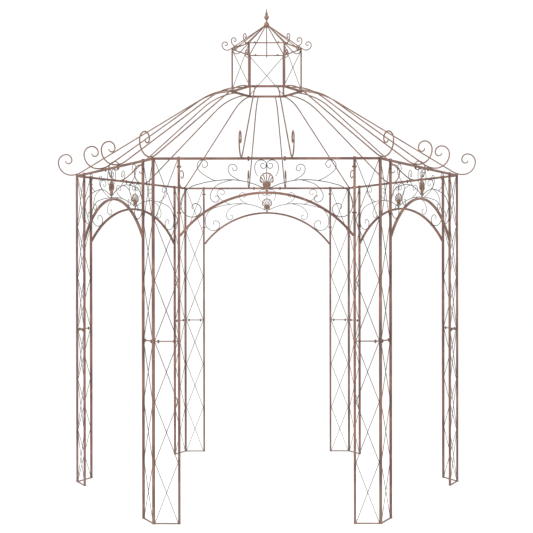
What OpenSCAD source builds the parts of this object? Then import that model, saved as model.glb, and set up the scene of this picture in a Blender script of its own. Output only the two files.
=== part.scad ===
// Wrought iron pavilion: six lattice posts, six arched panels with scrollwork,
// a domed cage of rafters and a small lantern with a finial.
// Origin at the middle of the floor. Posts and sides are numbered anticlockwise, from the +X corner.

/* [Plan] */
// Side of the hexagon, which is also the distance from the middle to a corner leg
side_len = 1500; // [1250:10:2200]

/* [Posts] */
// Square section of the legs, top rails, arches and roof ring
tube_w = 16; // [12:1:24]
// Distance from a corner leg to each of the two outer legs of its post
post_w = 170; // [120:5:260]
// Height of the top rails' centre line
rail_z = 2415; // [2000:5:3000]
// Height of the middle bars' centre line, where the two halves of a post join
mid_bar_z = 1207; // [900:1:1400]
// Section of the foot bars and middle bars
cross_bar_w = 8; // [6:1:14]
// Section of the lattice rods
lattice_w = 5; // [4:0.5:8]
// Crosses in each half of a lattice
crosses_per_half = 3; // [2:1:5]
// Height of the outer legs' end caps above the top rails
leg_cap_h = 5; // [2:1:15]

/* [Arches] */
// Drop from the top rail to the crown of the arch, between centre lines
arch_crown_drop = 226; // [185:1:300]
// Drop from the top rail to the ends of the arch, between centre lines
arch_end_drop = 510; // [440:5:600]

/* [Scrollwork] */
// Section of the main tendrils
tendril_w = 6; // [4:0.5:8]
// Section of the curls and of the lyre
curl_w = 5; // [3:0.5:7]
// Thickness of the cast shells
shell_t = 9; // [6:1:14]

/* [Roof] */
// Distance from the middle to a corner of the roof ring
ring_r = 272; // [200:1:400]
// Height of the roof ring's centre line
ring_z = 3080; // [2900:5:3500]
// Section of the rafters
rafter_w = 10; // [8:1:14]
// Distance from the middle of a side to the foot of a side rafter
side_rafter_foot = 164; // [120:1:240]
// Distance from the middle of the roof ring's side to the head of a side rafter
side_rafter_head = 66; // [40:1:90]
// Radius of the bend under the roof ring
head_bend_r = 517; // [300:1:700]
// Radius of the bend at the eaves
eaves_bend_r = 150; // [80:1:250]
// How far the lowest point of a rafter lies outside the top rail
eaves_reach = 45; // [35:1:70]

/* [Lantern] */
// Height of the lantern's posts
lantern_h = 321; // [240:1:420]
// Section of the lantern's posts
lantern_post_w = 12; // [8:1:16]
// Section of the lantern's eaves bars
lantern_bar_w = 8; // [6:1:12]
// Section of the lantern's rafters
lantern_rafter_w = 8; // [5:1:10]
// Rise from the lantern's eaves bars to the heads of its rafters
lantern_rise = 183; // [140:1:260]
// Radius of the bend at the lantern's eaves
lantern_bend_r = 50; // [30:1:80]
// How far the lowest point of a lantern rafter lies outside the eaves bar
lantern_reach = 40; // [34:1:60]
// How far the lowest point of a lantern rafter lies below the top of the eaves bar
lantern_dip = 10; // [8:1:14]

/* [Finial] */
// Radius of the hub that gathers the lantern's rafters
hub_r = 22; // [20:1:36]
// Radius of the bulb
bulb_r = 19; // [12:1:28]
// Height of the spike above its collar
spike_h = 40; // [25:1:80]

/* [Hidden] */

COPPER = [0.49, 0.36, 0.32];
DARK_IRON = [0.26, 0.23, 0.21];

sides = 6;
side_turn = 360 / sides;
apothem = side_len * cos(side_turn / 2);
ring_apothem = ring_r * cos(side_turn / 2);
rail_top = rail_z + tube_w / 2;
// Half the clear width between the outer legs of one side
half_span = side_len / 2 - post_w - tube_w / 2;
arch_rise = arch_end_drop - arch_crown_drop;
arch_r = (half_span * half_span + arch_rise * arch_rise) / (2 * arch_rise);
lantern_post_foot = ring_z + tube_w / 2;
lantern_bar_z = lantern_post_foot + lantern_h;
lantern_bar_top = lantern_bar_z + lantern_bar_w;
lantern_head_z = lantern_bar_top + lantern_rise;
// Depth to which a welded piece is let into its seat before it is trimmed flush
weld = 0.5;
// Overlap that lets one turned part run on into the next
run_in = 1;
// How far a lattice rod runs on into a leg, in its own widths
rod_run_on = 1.3;
arc_step = 15;

// ---- Paths made of moves [radius, turn], with a left turn positive, or [length, 0] ----

function arc_point(p, heading, r, turn) =
    p + r * sign(turn) * [sin(heading + turn) - sin(heading), cos(heading) - cos(heading + turn)];

function path(p, heading, moves, i = 0) =
    i == len(moves) ? [p]
    : moves[i][1] == 0
    ? concat([p], path(p + moves[i][0] * [cos(heading), sin(heading)], heading, moves, i + 1))
    : let (r = moves[i][0], turn = moves[i][1], steps = ceil(abs(turn) / arc_step))
      concat(
          [for (j = [0 : steps - 1]) arc_point(p, heading, r, turn * j / steps)],
          path(arc_point(p, heading, r, turn), heading + turn, moves, i + 1)
      );

function across(pts, i) =
    let (d = pts[min(i + 1, len(pts) - 1)] - pts[max(i - 1, 0)])
    [-d[1], d[0]] / norm(d);

// A bar of constant width along a path
module ribbon(pts, w) {
    last = len(pts) - 1;
    polygon(concat(
        [for (i = [0 : last]) pts[i] + across(pts, i) * w / 2],
        [for (i = [last : -1 : 0]) pts[i] - across(pts, i) * w / 2]
    ));
}

// ---- Places ----

// Upright plane through the axis: the outline's x runs outward and its y runs up
module upright(depth) {
    rotate([90, 0, 0]) linear_extrude(depth, center = true) children();
}

// Plane of a side: the outline's x runs along the side and its y runs up
module in_side_plane(depth) {
    rotate([90, 0, 90]) linear_extrude(depth, center = true) children();
}

// Middle of side k at floor level, with x outward
module at_side(k) {
    rotate([0, 0, (k + 0.5) * side_turn]) translate([apothem, 0, 0]) children();
}

// Corner k at floor level, with x outward
module at_corner(k, r) {
    rotate([0, 0, k * side_turn]) translate([r, 0, 0]) children();
}

module square_bar(w, low, high) {
    translate([-w / 2, -w / 2, low]) cube([w, w, high - low]);
}

// Hexagonal ring of square bar, with its corners at the corner legs' angles
module hexagon_ring(r, w, low) {
    half_w = w / 2 / cos(side_turn / 2);
    translate([0, 0, low]) linear_extrude(w) difference() {
        circle(r = r + half_w, $fn = sides);
        circle(r = r - half_w, $fn = sides);
    }
}

// ---- Posts ----

module corner_leg(k) {
    color(COPPER) at_corner(k, side_len) square_bar(tube_w, 0, rail_top);
}

// A straight bar whose ends run on into the legs, so that no corner of them is left in the air
module rod_between(a, b, w) {
    run_on = rod_run_on * w * (b - a) / norm(b - a);
    ribbon([a - run_on, b + run_on], w);
}

// Crossed rods between two heights, from one leg's face to the other's.
// The corner leg stands turned to the panel, so its face lies farther out there.
module crosses(low, high) {
    pitch = (high - low) / crosses_per_half;
    near = tube_w / 2 / cos(side_turn / 2);
    far = post_w - tube_w / 2;
    for (i = [0 : crosses_per_half - 1]) {
        z = low + i * pitch;
        rod_between([near, z], [far, z + pitch], lattice_w);
        rod_between([near, z + pitch], [far, z], lattice_w);
    }
}

module cross_bar(w, low) {
    translate([-w / 2, 0, low]) cube([w, post_w, w]);
}

// One face of a post: from the corner leg, which it meets face to face, to its own outer leg.
// Behind the corner leg its bars are mitred against those of the post's other face.
module lattice_face() {
    difference() {
        union() {
            in_side_plane(lattice_w) {
                crosses(cross_bar_w, mid_bar_z - cross_bar_w / 2);
                crosses(mid_bar_z + cross_bar_w / 2, rail_z - tube_w / 2);
            }
            cross_bar(cross_bar_w, 0);
            cross_bar(cross_bar_w, mid_bar_z - cross_bar_w / 2);
            cross_bar(tube_w, rail_z - tube_w / 2);
            translate([0, post_w, 0]) square_bar(tube_w, 0, rail_top + leg_cap_h);
        }
        rotate([0, 0, -side_turn / 2]) {
            square_bar(tube_w, -tube_w, rail_top + tube_w);
            translate([-2 * tube_w, -2 * tube_w, -tube_w]) cube([2 * tube_w, 2 * tube_w, rail_top + 2 * tube_w]);
        }
    }
}

// The face on the side that follows the corner anticlockwise
module right_lattice(k) {
    color(COPPER) at_side(k) translate([0, -side_len / 2, 0]) lattice_face();
}

// The face on the side that comes before the corner
module left_lattice(k) {
    color(COPPER) at_side(k - 1) mirror([0, 1, 0]) translate([0, -side_len / 2, 0]) lattice_face();
}

// ---- Arched panels ----

module top_rail(k) {
    color(COPPER) at_side(k)
        translate([-tube_w / 2, -half_span, rail_z - tube_w / 2]) cube([tube_w, 2 * half_span, tube_w]);
}

// Arch outline, from leg to leg, with the rail's centre line at y = 0
module arch_outline() {
    intersection() {
        translate([0, -arch_crown_drop - arch_r]) difference() {
            circle(r = arch_r + tube_w / 2, $fn = 128);
            circle(r = arch_r - tube_w / 2, $fn = 128);
        }
        translate([-half_span, -arch_end_drop - tube_w]) square([2 * half_span, arch_end_drop]);
    }
}

module arch(k) {
    color(COPPER) at_side(k) translate([0, 0, rail_z]) in_side_plane(tube_w) arch_outline();
}

// The scrollwork is drawn for a panel of this half width and this drop to the arch, then spread
// to the real panel. Its highest curls touch the rail at drawn_top.
drawn_half_span = 569;
drawn_crown_drop = 226;
drawn_top = 10;
rise_scale = (arch_crown_drop - tube_w) / (drawn_crown_drop - tube_w);
span_scale = (half_span - tendril_w / 2 + weld) / drawn_half_span;

function spread(pts) = [
    for (p = pts) [
        p[0] * span_scale,
        (p[1] + drawn_top) * rise_scale - tube_w / 2 - curl_w / 2 + weld
    ]
];
function raised(pts) = [for (p = spread(pts)) [p[0] / span_scale * rise_scale, p[1]]];

tendril = path([9, -201], 25, [[34, 0], [500, -27], [760, -16], [130, -84], [75, -81], [60, -56], [40, -116], [22, -138]]);
inner_curl = path([176, -147], 30, [[56, 0], [60, 57], [30, 173], [15, 213]]);
upper_curl = path([337, -148], 20, [[322, 22], [48, 68], [35, 128], [22, 111], [14, 129]]);
lower_curl = path([226, -142], -9, [[361, -13], [115, -49], [44, -78], [25, -144], [13, -132]]);
lyre_scroll = path([-58, -118], 129, [[94, -37], [66, -22], [41, -158], [15, 30], [18, 181], [13, 120]]);
lyre_cross_y = -40;

// Middle of the shell's fan, its radius and the height of its foot
shell_r = 42 * rise_scale;
shell_y = -arch_crown_drop + 87 * rise_scale;
shell_foot_y = -arch_crown_drop + tube_w / 2;
shell_ribs = 7;
shell_rib_spread = 33;

// Outline of the cast shell: a fan of ribs inside a rim, on a solid heel with two leaves
module shell_outline() {
    heel_y = shell_y - shell_r;
    translate([0, shell_y]) difference() {
        circle(r = shell_r, $fn = 48);
        circle(r = shell_r - curl_w, $fn = 48);
    }
    for (i = [0 : shell_ribs - 1]) {
        angle = 90 + (i - (shell_ribs - 1) / 2) * shell_rib_spread;
        tip = [0, shell_y] + shell_r * [cos(angle), sin(angle)];
        ribbon([[0, heel_y], tip], curl_w);
        translate(tip) circle(r = shell_r / 9, $fn = 24);
    }
    translate([0, heel_y + shell_r / 4]) circle(r = shell_r * 0.55, $fn = 48);
    polygon([
        [-shell_r * 0.3, heel_y], [-shell_r * 0.75, heel_y - shell_r * 0.4], [-curl_w, heel_y - shell_r * 0.6],
        [-curl_w, shell_foot_y], [curl_w, shell_foot_y], [curl_w, heel_y - shell_r * 0.6],
        [shell_r * 0.75, heel_y - shell_r * 0.4], [shell_r * 0.3, heel_y]
    ]);
}

// Everything that the scrollwork is welded to and stops at
module panel_edges() {
    arch_outline();
    shell_outline();
    translate([-half_span, -tube_w / 2]) square([2 * half_span, tube_w]);
    for (m = [0, 1]) mirror([m, 0]) translate([half_span, -arch_end_drop]) square([tube_w, arch_end_drop]);
}

module scrollwork(k) {
    color(DARK_IRON) at_side(k) translate([0, 0, rail_z]) in_side_plane(curl_w) difference() {
        union() {
            for (m = [0, 1]) mirror([m, 0]) {
                ribbon(spread(tendril), tendril_w);
                ribbon(spread(inner_curl), curl_w);
                ribbon(spread(upper_curl), curl_w);
                ribbon(spread(lower_curl), curl_w);
                ribbon(raised(lyre_scroll), curl_w);
            }
            ribbon([raised([[0, lyre_cross_y]])[0], [0, shell_y]], curl_w);
        }
        panel_edges();
    }
}

module shells() {
    color(COPPER) for (k = [0 : sides - 1])
        at_side(k) translate([0, 0, rail_z]) in_side_plane(shell_t) shell_outline();
}

// ---- Roof ----

// Slope of a bar that starts level or straight, falls by dz over dr and ends level,
// with bends whose radii add up to r
function fall_angle(dr, dz, r) = atan2(dz - r, dr) + asin(r / norm([dr, dz - r]));
function fall_length(dr, dz, r) = sqrt(dr * dr + (dz - r) * (dz - r) - r * r);

// Quarter turns of an eaves scroll, from its lowest point outward and up
function scroll_moves(r) = [[r, 90], [r * 0.62, 90], [r * 0.44, 90], [r * 0.28, 90], [r * 0.2, 90]];
eaves_scroll_r = 100;
lantern_scroll_r = 40;

function rafter_path(dr, dz) =
    let (r = head_bend_r + eaves_bend_r, angle = fall_angle(dr, dz, r))
    path([0, 0], 0, concat(
        [[head_bend_r, -angle], [fall_length(dr, dz, r), 0], [eaves_bend_r, angle]],
        scroll_moves(eaves_scroll_r)
    ));

// A rafter from the middle of the ring's bar to its lowest point at the top of the rails
module rafter(run) {
    translate([0, 0, ring_z]) upright(rafter_w)
        ribbon(rafter_path(run + eaves_reach, ring_z - rail_top), rafter_w);
}

// What the rafters butt against and rest on
module rafter_seats() {
    hexagon_ring(side_len, tube_w, rail_z - tube_w / 2);
    hexagon_ring(ring_r, tube_w, ring_z - tube_w / 2);
}

module corner_rafters() {
    color(COPPER) for (k = [0 : sides - 1]) difference() {
        at_corner(k, ring_r) rafter(side_len - ring_r);
        rafter_seats();
        corner_leg(k);
    }
}

module side_rafters() {
    run = [apothem - ring_apothem, side_rafter_foot - side_rafter_head];
    color(COPPER) for (k = [0 : sides - 1]) for (m = [0, 1]) difference() {
        rotate([0, 0, (k + 0.5) * side_turn]) mirror([0, m, 0]) translate([ring_apothem, side_rafter_head, 0])
            rotate([0, 0, atan2(run[1], run[0])]) rafter(norm(run));
        rafter_seats();
    }
}

module roof_ring() {
    color(COPPER) hexagon_ring(ring_r, tube_w, ring_z - tube_w / 2);
}

// ---- Lantern ----

// Two posts and their crossed rods, on side k
module lantern_frame(k) {
    for (i = [k, k + 1]) at_corner(i, ring_r) square_bar(lantern_post_w, lantern_post_foot, lantern_bar_z);
    rotate([0, 0, (k + 0.5) * side_turn]) translate([ring_apothem, 0, 0]) in_side_plane(lattice_w)
        for (m = [0, 1]) mirror([m, 0])
            ribbon([[-ring_r / 2, lantern_post_foot + lattice_w], [ring_r / 2, lantern_bar_z - lattice_w]], lattice_w);
}

// Every other side of the lantern is crossed
module lantern_frames() {
    color(COPPER) for (k = [1 : 2 : sides - 1]) lantern_frame(k);
}

module lantern_eaves() {
    color(COPPER) hexagon_ring(ring_r, lantern_bar_w, lantern_bar_z);
}

lantern_head_r = 14;

// A rafter from inside the hub, over an eaves bar at the distance bar_r, to its scroll
module lantern_rafter(bar_r) {
    dr = bar_r + lantern_reach - lantern_head_r;
    dz = lantern_rise + lantern_dip;
    angle = fall_angle(dr, dz, lantern_bend_r);
    moves = concat(
        [[fall_length(dr, dz, lantern_bend_r), 0], [lantern_bend_r, angle]],
        scroll_moves(lantern_scroll_r)
    );
    translate([0, 0, lantern_head_z]) upright(lantern_rafter_w)
        ribbon(path([lantern_head_r, 0], -angle, moves), lantern_rafter_w);
}

hub_low = lantern_head_z - 14;
hub_high = lantern_head_z + 4;

module hub() {
    translate([0, 0, hub_low]) cylinder(r = hub_r, h = hub_high - hub_low, $fn = 64);
}

module lantern_rafters() {
    color(COPPER) for (i = [0 : 2 * sides - 1]) difference() {
        rotate([0, 0, i * side_turn / 2]) lantern_rafter(i % 2 == 0 ? ring_r : ring_apothem);
        hexagon_ring(ring_r, lantern_bar_w, lantern_bar_z);
        hub();
    }
}

// Hub, bell, neck, bulb, collar and spike, from the bottom up
module finial() {
    bell_r = hub_r - 2;
    bulb_z = hub_high + bell_r + bulb_r + 22;
    collar_z = bulb_z + bulb_r + 10;
    color(COPPER) {
        hub();
        translate([0, 0, hub_high + 4]) sphere(r = bell_r, $fn = 64);
        translate([0, 0, hub_low + run_in]) cylinder(r = 6, h = collar_z - hub_low - run_in, $fn = 32);
        translate([0, 0, bulb_z]) sphere(r = bulb_r, $fn = 64);
        translate([0, 0, collar_z - 4]) cylinder(r = 12, h = 7, $fn = 48);
        translate([0, 0, collar_z + 2]) cylinder(r1 = 6, r2 = 1, h = spike_h, $fn = 32);
    }
}

corner_leg(0);  // post_1_corner_leg
left_lattice(0);  // post_1_left_lattice
right_lattice(0);  // post_1_right_lattice
corner_leg(1);  // post_2_corner_leg
left_lattice(1);  // post_2_left_lattice
right_lattice(1);  // post_2_right_lattice
corner_leg(2);  // post_3_corner_leg
left_lattice(2);  // post_3_left_lattice
right_lattice(2);  // post_3_right_lattice
corner_leg(3);  // post_4_corner_leg
left_lattice(3);  // post_4_left_lattice
right_lattice(3);  // post_4_right_lattice
corner_leg(4);  // post_5_corner_leg
left_lattice(4);  // post_5_left_lattice
right_lattice(4);  // post_5_right_lattice
corner_leg(5);  // post_6_corner_leg
left_lattice(5);  // post_6_left_lattice
right_lattice(5);  // post_6_right_lattice
top_rail(0);  // top_rail_1
top_rail(1);  // top_rail_2
top_rail(2);  // top_rail_3
top_rail(3);  // top_rail_4
top_rail(4);  // top_rail_5
top_rail(5);  // top_rail_6
arch(0);  // arch_1
arch(1);  // arch_2
arch(2);  // arch_3
arch(3);  // arch_4
arch(4);  // arch_5
arch(5);  // arch_6
scrollwork(0);  // scrollwork_1
scrollwork(1);  // scrollwork_2
scrollwork(2);  // scrollwork_3
scrollwork(3);  // scrollwork_4
scrollwork(4);  // scrollwork_5
scrollwork(5);  // scrollwork_6
shells();
corner_rafters();
side_rafters();
roof_ring();
lantern_frames();
lantern_eaves();
lantern_rafters();
finial();
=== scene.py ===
"""Wrought iron pavilion: bent tubes, rods, castings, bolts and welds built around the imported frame."""

import math

import bmesh
import bpy
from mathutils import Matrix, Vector


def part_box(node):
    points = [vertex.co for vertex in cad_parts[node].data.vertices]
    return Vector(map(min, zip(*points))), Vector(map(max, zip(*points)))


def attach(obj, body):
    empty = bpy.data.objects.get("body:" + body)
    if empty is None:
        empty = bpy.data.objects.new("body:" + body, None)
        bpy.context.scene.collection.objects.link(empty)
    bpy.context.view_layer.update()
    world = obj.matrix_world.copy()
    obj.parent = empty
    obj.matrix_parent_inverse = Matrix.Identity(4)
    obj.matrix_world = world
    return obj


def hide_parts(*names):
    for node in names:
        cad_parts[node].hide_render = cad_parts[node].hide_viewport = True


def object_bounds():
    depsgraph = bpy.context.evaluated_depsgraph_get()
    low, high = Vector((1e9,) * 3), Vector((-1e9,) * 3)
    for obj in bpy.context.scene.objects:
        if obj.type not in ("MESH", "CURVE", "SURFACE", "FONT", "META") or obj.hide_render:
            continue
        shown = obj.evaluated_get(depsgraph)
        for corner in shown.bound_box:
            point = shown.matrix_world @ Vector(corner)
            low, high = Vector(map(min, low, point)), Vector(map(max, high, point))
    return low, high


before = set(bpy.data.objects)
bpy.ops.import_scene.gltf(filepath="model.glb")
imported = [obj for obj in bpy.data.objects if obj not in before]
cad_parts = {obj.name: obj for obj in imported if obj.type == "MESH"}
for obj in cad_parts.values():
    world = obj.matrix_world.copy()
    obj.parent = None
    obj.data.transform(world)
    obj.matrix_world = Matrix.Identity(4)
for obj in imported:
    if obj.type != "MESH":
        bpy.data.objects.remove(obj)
CAD_LOW, CAD_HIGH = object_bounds()

# ---- Sizes, in metres ----

SIDES = 6
SIDE_TURN = math.tau / SIDES


def middle(node, axis):
    low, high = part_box(node)
    return (low[axis] + high[axis]) / 2


def top(node):
    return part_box(node)[1][2]


BACK_RAIL = "top_rail_2"
RAIL_Z = middle(BACK_RAIL, 2)
RAIL_TOP = top(BACK_RAIL)
TUBE_W = 2 * (RAIL_TOP - RAIL_Z)
APOTHEM = middle(BACK_RAIL, 1)
SIDE_LEN = APOTHEM / math.cos(SIDE_TURN / 2)
HALF_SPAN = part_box(BACK_RAIL)[1][0]
POST_W = SIDE_LEN / 2 - HALF_SPAN - TUBE_W / 2
RING_Z = middle("roof_ring", 2)
RING_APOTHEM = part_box("roof_ring")[1][1] - TUBE_W / 2
RING_R = RING_APOTHEM / math.cos(SIDE_TURN / 2)
EAVES_BAR_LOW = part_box("lantern_eaves")[0][2]
EAVES_BAR_TOP = top("lantern_eaves")
EAVES_BAR_W = EAVES_BAR_TOP - EAVES_BAR_LOW
OUTER_LEG_TOP = top("post_1_left_lattice")

# Taken off each bar's width, so that no bar stands outside the drawn sizes
PAINT_GAP = 0.0002
TUBE_EDGE_R = 0.0017
CROSS_BAR_W = 0.008
LATTICE_ROD = 0.005
CROSSES_PER_HALF = 3
MID_BAR_Z = RAIL_Z / 2
SEAM = 0.0009

ARCH_CROWN_DROP = 0.226
ARCH_END_DROP = 0.510
ARCH_RISE = ARCH_END_DROP - ARCH_CROWN_DROP
ARCH_R = (HALF_SPAN**2 + ARCH_RISE**2) / (2 * ARCH_RISE)

TENDRIL_ROD = 0.006
CURL_ROD = 0.005
DRAWN_HALF_SPAN = 0.569
DRAWN_TOP = 0.010
WELD_DEPTH = 0.0005
SPAN_SCALE = (HALF_SPAN - TENDRIL_ROD / 2 + WELD_DEPTH) / DRAWN_HALF_SPAN
SHELL_R = 0.042
SHELL_LIFT = 0.087
SHELL_Y = SHELL_LIFT - ARCH_CROWN_DROP
SHELL_FOOT_Y = -ARCH_CROWN_DROP + TUBE_W / 2
SHELL_HEEL_Y = SHELL_Y - SHELL_R
SHELL_T = 0.009
SHELL_RIBS = 7
SHELL_RIB_SPREAD = math.radians(33)

RAFTER_ROD = 0.010
SIDE_RAFTER_FOOT = 0.164
SIDE_RAFTER_HEAD = 0.066
HEAD_BEND_R = 0.517
EAVES_BEND_R = 0.150
EAVES_REACH = 0.045
EAVES_SCROLL_R = 0.100

LANTERN_POST_W = 0.012
LANTERN_EDGE_R = 0.0018
LANTERN_POST_FOOT = RING_Z + TUBE_W / 2
LANTERN_ROD = 0.008
LANTERN_RISE = 0.183
LANTERN_BEND_R = 0.050
LANTERN_REACH = 0.040
LANTERN_DIP = 0.010
LANTERN_SCROLL_R = 0.040
LANTERN_HEAD_R = 0.014
LANTERN_HEAD_Z = EAVES_BAR_TOP + LANTERN_RISE
HUB_LOW = LANTERN_HEAD_Z - 0.014
HUB_HIGH = LANTERN_HEAD_Z + 0.004
HUB_R = 0.022

ARC_STEP = math.radians(6)

# ---- Node trees: small helpers ----


def add_node(tree, kind, **settings):
    node = tree.nodes.new(kind)
    for name, value in settings.items():
        setattr(node, name, value)
    return node


def plug(tree, source, node, socket):
    tree.links.new(source, node.inputs[socket])


def new_geometry_tree(name, inputs):
    """A geometry tree with a geometry in and out, and the named inputs given as (name, kind)."""
    tree = bpy.data.node_groups.new(name, "GeometryNodeTree")
    tree.interface.new_socket("Geometry", in_out="INPUT", socket_type="NodeSocketGeometry")
    for label, kind in inputs:
        tree.interface.new_socket(label, in_out="INPUT", socket_type=f"NodeSocket{kind}")
    tree.interface.new_socket("Geometry", in_out="OUTPUT", socket_type="NodeSocketGeometry")
    return tree


def finish_tree(tree, start, geometry):
    """Real mesh with its material on, at the tree's output."""
    realize = add_node(tree, "GeometryNodeRealizeInstances")
    painted = add_node(tree, "GeometryNodeSetMaterial")
    end = add_node(tree, "NodeGroupOutput")
    plug(tree, geometry, realize, "Geometry")
    plug(tree, realize.outputs["Geometry"], painted, "Geometry")
    plug(tree, start.outputs["Material"], painted, "Material")
    plug(tree, painted.outputs["Geometry"], end, "Geometry")


# ---- Geometry tree: a bar bent along drawn lines ----


EDGE_STEPS = 3


def bent_bar_tree():
    tree = new_geometry_tree(
        "bent bar",
        [
            ("Width", "Float"),
            ("Edge Radius", "Float"),
            ("Round", "Bool"),
            ("Facets", "Int"),
            ("Material", "Material"),
        ],
    )
    start = add_node(tree, "NodeGroupInput")
    line = add_node(tree, "GeometryNodeMeshToCurve")
    normal = add_node(tree, "GeometryNodeInputNamedAttribute", data_type="FLOAT_VECTOR")
    normal.inputs["Name"].default_value = "plane_normal"
    taper = add_node(tree, "GeometryNodeInputNamedAttribute", data_type="FLOAT")
    taper.inputs["Name"].default_value = "taper"
    turned = add_node(tree, "GeometryNodeSetCurveNormal", mode="FREE")
    square = add_node(tree, "GeometryNodeCurvePrimitiveQuadrilateral")
    eased = add_node(tree, "GeometryNodeFilletCurve", mode="POLY")
    eased.inputs["Count"].default_value = EDGE_STEPS
    half = add_node(tree, "ShaderNodeMath", operation="MULTIPLY")
    half.inputs[1].default_value = 0.5
    circle = add_node(tree, "GeometryNodeCurvePrimitiveCircle")
    section = add_node(tree, "GeometryNodeSwitch", input_type="GEOMETRY")
    swept = add_node(tree, "GeometryNodeCurveToMesh")
    swept.inputs["Fill Caps"].default_value = True
    plug(tree, start.outputs["Geometry"], line, "Mesh")
    plug(tree, line.outputs["Curve"], turned, "Curve")
    plug(tree, normal.outputs["Attribute"], turned, "Normal")
    plug(tree, start.outputs["Width"], square, "Width")
    plug(tree, start.outputs["Width"], square, "Height")
    plug(tree, square.outputs["Curve"], eased, "Curve")
    plug(tree, start.outputs["Edge Radius"], eased, "Radius")
    plug(tree, start.outputs["Width"], half, 0)
    plug(tree, half.outputs["Value"], circle, "Radius")
    plug(tree, start.outputs["Facets"], circle, "Resolution")
    plug(tree, start.outputs["Round"], section, "Switch")
    plug(tree, eased.outputs["Curve"], section, "False")
    plug(tree, circle.outputs["Curve"], section, "True")
    plug(tree, turned.outputs["Curve"], swept, "Curve")
    plug(tree, section.outputs["Output"], swept, "Profile Curve")
    plug(tree, taper.outputs["Attribute"], swept, "Scale")
    finish_tree(tree, start, swept.outputs["Mesh"])
    return tree


# ---- Geometry tree: a bolt head or nut on each point ----


WASHER_FACETS = 20
HEAD_FACETS = 6
CROWN_FACETS = 12


def stacked(tree, start, radius, depth, base, vertices):
    """A short turned or six-sided piece standing on the height given by the socket base."""
    body = add_node(tree, "GeometryNodeMeshCylinder")
    body.inputs["Vertices"].default_value = vertices
    centre = add_node(tree, "ShaderNodeMath", operation="MULTIPLY_ADD")
    centre.inputs[1].default_value = 0.5
    centre.inputs[2].default_value = 0.0
    place = add_node(tree, "ShaderNodeCombineXYZ")
    moved = add_node(tree, "GeometryNodeTransform")
    plug(tree, start.outputs[radius], body, "Radius")
    plug(tree, start.outputs[depth], body, "Depth")
    plug(tree, start.outputs[depth], centre, 0)
    if base is not None:
        plug(tree, base, centre, 2)
    plug(tree, centre.outputs["Value"], place, "Z")
    plug(tree, body.outputs["Mesh"], moved, "Geometry")
    plug(tree, place.outputs["Vector"], moved, "Translation")
    return moved.outputs["Geometry"]


def fastener_tree():
    tree = new_geometry_tree(
        "fasteners",
        [
            ("Washer Radius", "Float"),
            ("Washer Depth", "Float"),
            ("Head Radius", "Float"),
            ("Head Depth", "Float"),
            ("Crown Radius", "Float"),
            ("Crown Depth", "Float"),
            ("Material", "Material"),
        ],
    )
    start = add_node(tree, "NodeGroupInput")
    axis = add_node(tree, "GeometryNodeInputNamedAttribute", data_type="FLOAT_VECTOR")
    axis.inputs["Name"].default_value = "axis"
    turned = add_node(tree, "FunctionNodeAlignRotationToVector", axis="Z")
    head_top = add_node(tree, "ShaderNodeMath", operation="ADD")
    stack = add_node(tree, "GeometryNodeJoinGeometry")
    placed = add_node(tree, "GeometryNodeInstanceOnPoints")
    plug(tree, start.outputs["Washer Depth"], head_top, 0)
    plug(tree, start.outputs["Head Depth"], head_top, 1)
    washer = stacked(tree, start, "Washer Radius", "Washer Depth", None, WASHER_FACETS)
    head = stacked(tree, start, "Head Radius", "Head Depth", start.outputs["Washer Depth"], HEAD_FACETS)
    crown = stacked(tree, start, "Crown Radius", "Crown Depth", head_top.outputs["Value"], CROWN_FACETS)
    for part in (washer, head, crown):
        plug(tree, part, stack, "Geometry")
    plug(tree, axis.outputs["Attribute"], turned, "Vector")
    plug(tree, start.outputs["Geometry"], placed, "Points")
    plug(tree, stack.outputs["Geometry"], placed, "Instance")
    plug(tree, turned.outputs["Rotation"], placed, "Rotation")
    finish_tree(tree, start, placed.outputs["Instances"])
    return tree


# ---- Geometry tree: an uneven bead of weld on each point ----


# Each bead is scaled along each axis by a share drawn between these two
BEAD_SHARES = (0.75, 1.15)


def weld_tree():
    inputs = [("Bead Radius", "Float"), ("Seed", "Int"), ("Material", "Material")]
    tree = new_geometry_tree("weld beads", inputs)
    start = add_node(tree, "NodeGroupInput")
    bead = add_node(tree, "GeometryNodeMeshIcoSphere")
    bead.inputs["Subdivisions"].default_value = 2
    spread = add_node(tree, "FunctionNodeRandomValue", data_type="FLOAT_VECTOR")
    spread.inputs["Min"].default_value = (BEAD_SHARES[0],) * 3
    spread.inputs["Max"].default_value = (BEAD_SHARES[1],) * 3
    placed = add_node(tree, "GeometryNodeInstanceOnPoints")
    plug(tree, start.outputs["Bead Radius"], bead, "Radius")
    plug(tree, start.outputs["Seed"], spread, "Seed")
    plug(tree, start.outputs["Geometry"], placed, "Points")
    plug(tree, bead.outputs["Mesh"], placed, "Instance")
    plug(tree, spread.outputs["Value"], placed, "Scale")
    finish_tree(tree, start, placed.outputs["Instances"])
    return tree


BENT_BAR = bent_bar_tree()
FASTENERS = fastener_tree()
WELD_BEADS = weld_tree()


def run_tree(tree, mesh, values):
    """The plain mesh that a tree makes of a mesh of lines or points."""
    carrier = bpy.data.objects.new("carrier", mesh)
    bpy.context.scene.collection.objects.link(carrier)
    modifier = carrier.modifiers.new("maker", "NODES")
    modifier.node_group = tree
    for item in tree.interface.items_tree:
        if item.in_out == "INPUT" and item.name in values:
            modifier[item.identifier] = values[item.name]
    ready = carrier.evaluated_get(bpy.context.evaluated_depsgraph_get())
    made = bpy.data.meshes.new_from_object(ready)
    carrier.modifiers.remove(modifier)
    bpy.data.objects.remove(carrier)
    return made


# ---- Shader groups, shared by the finishes ----

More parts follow.
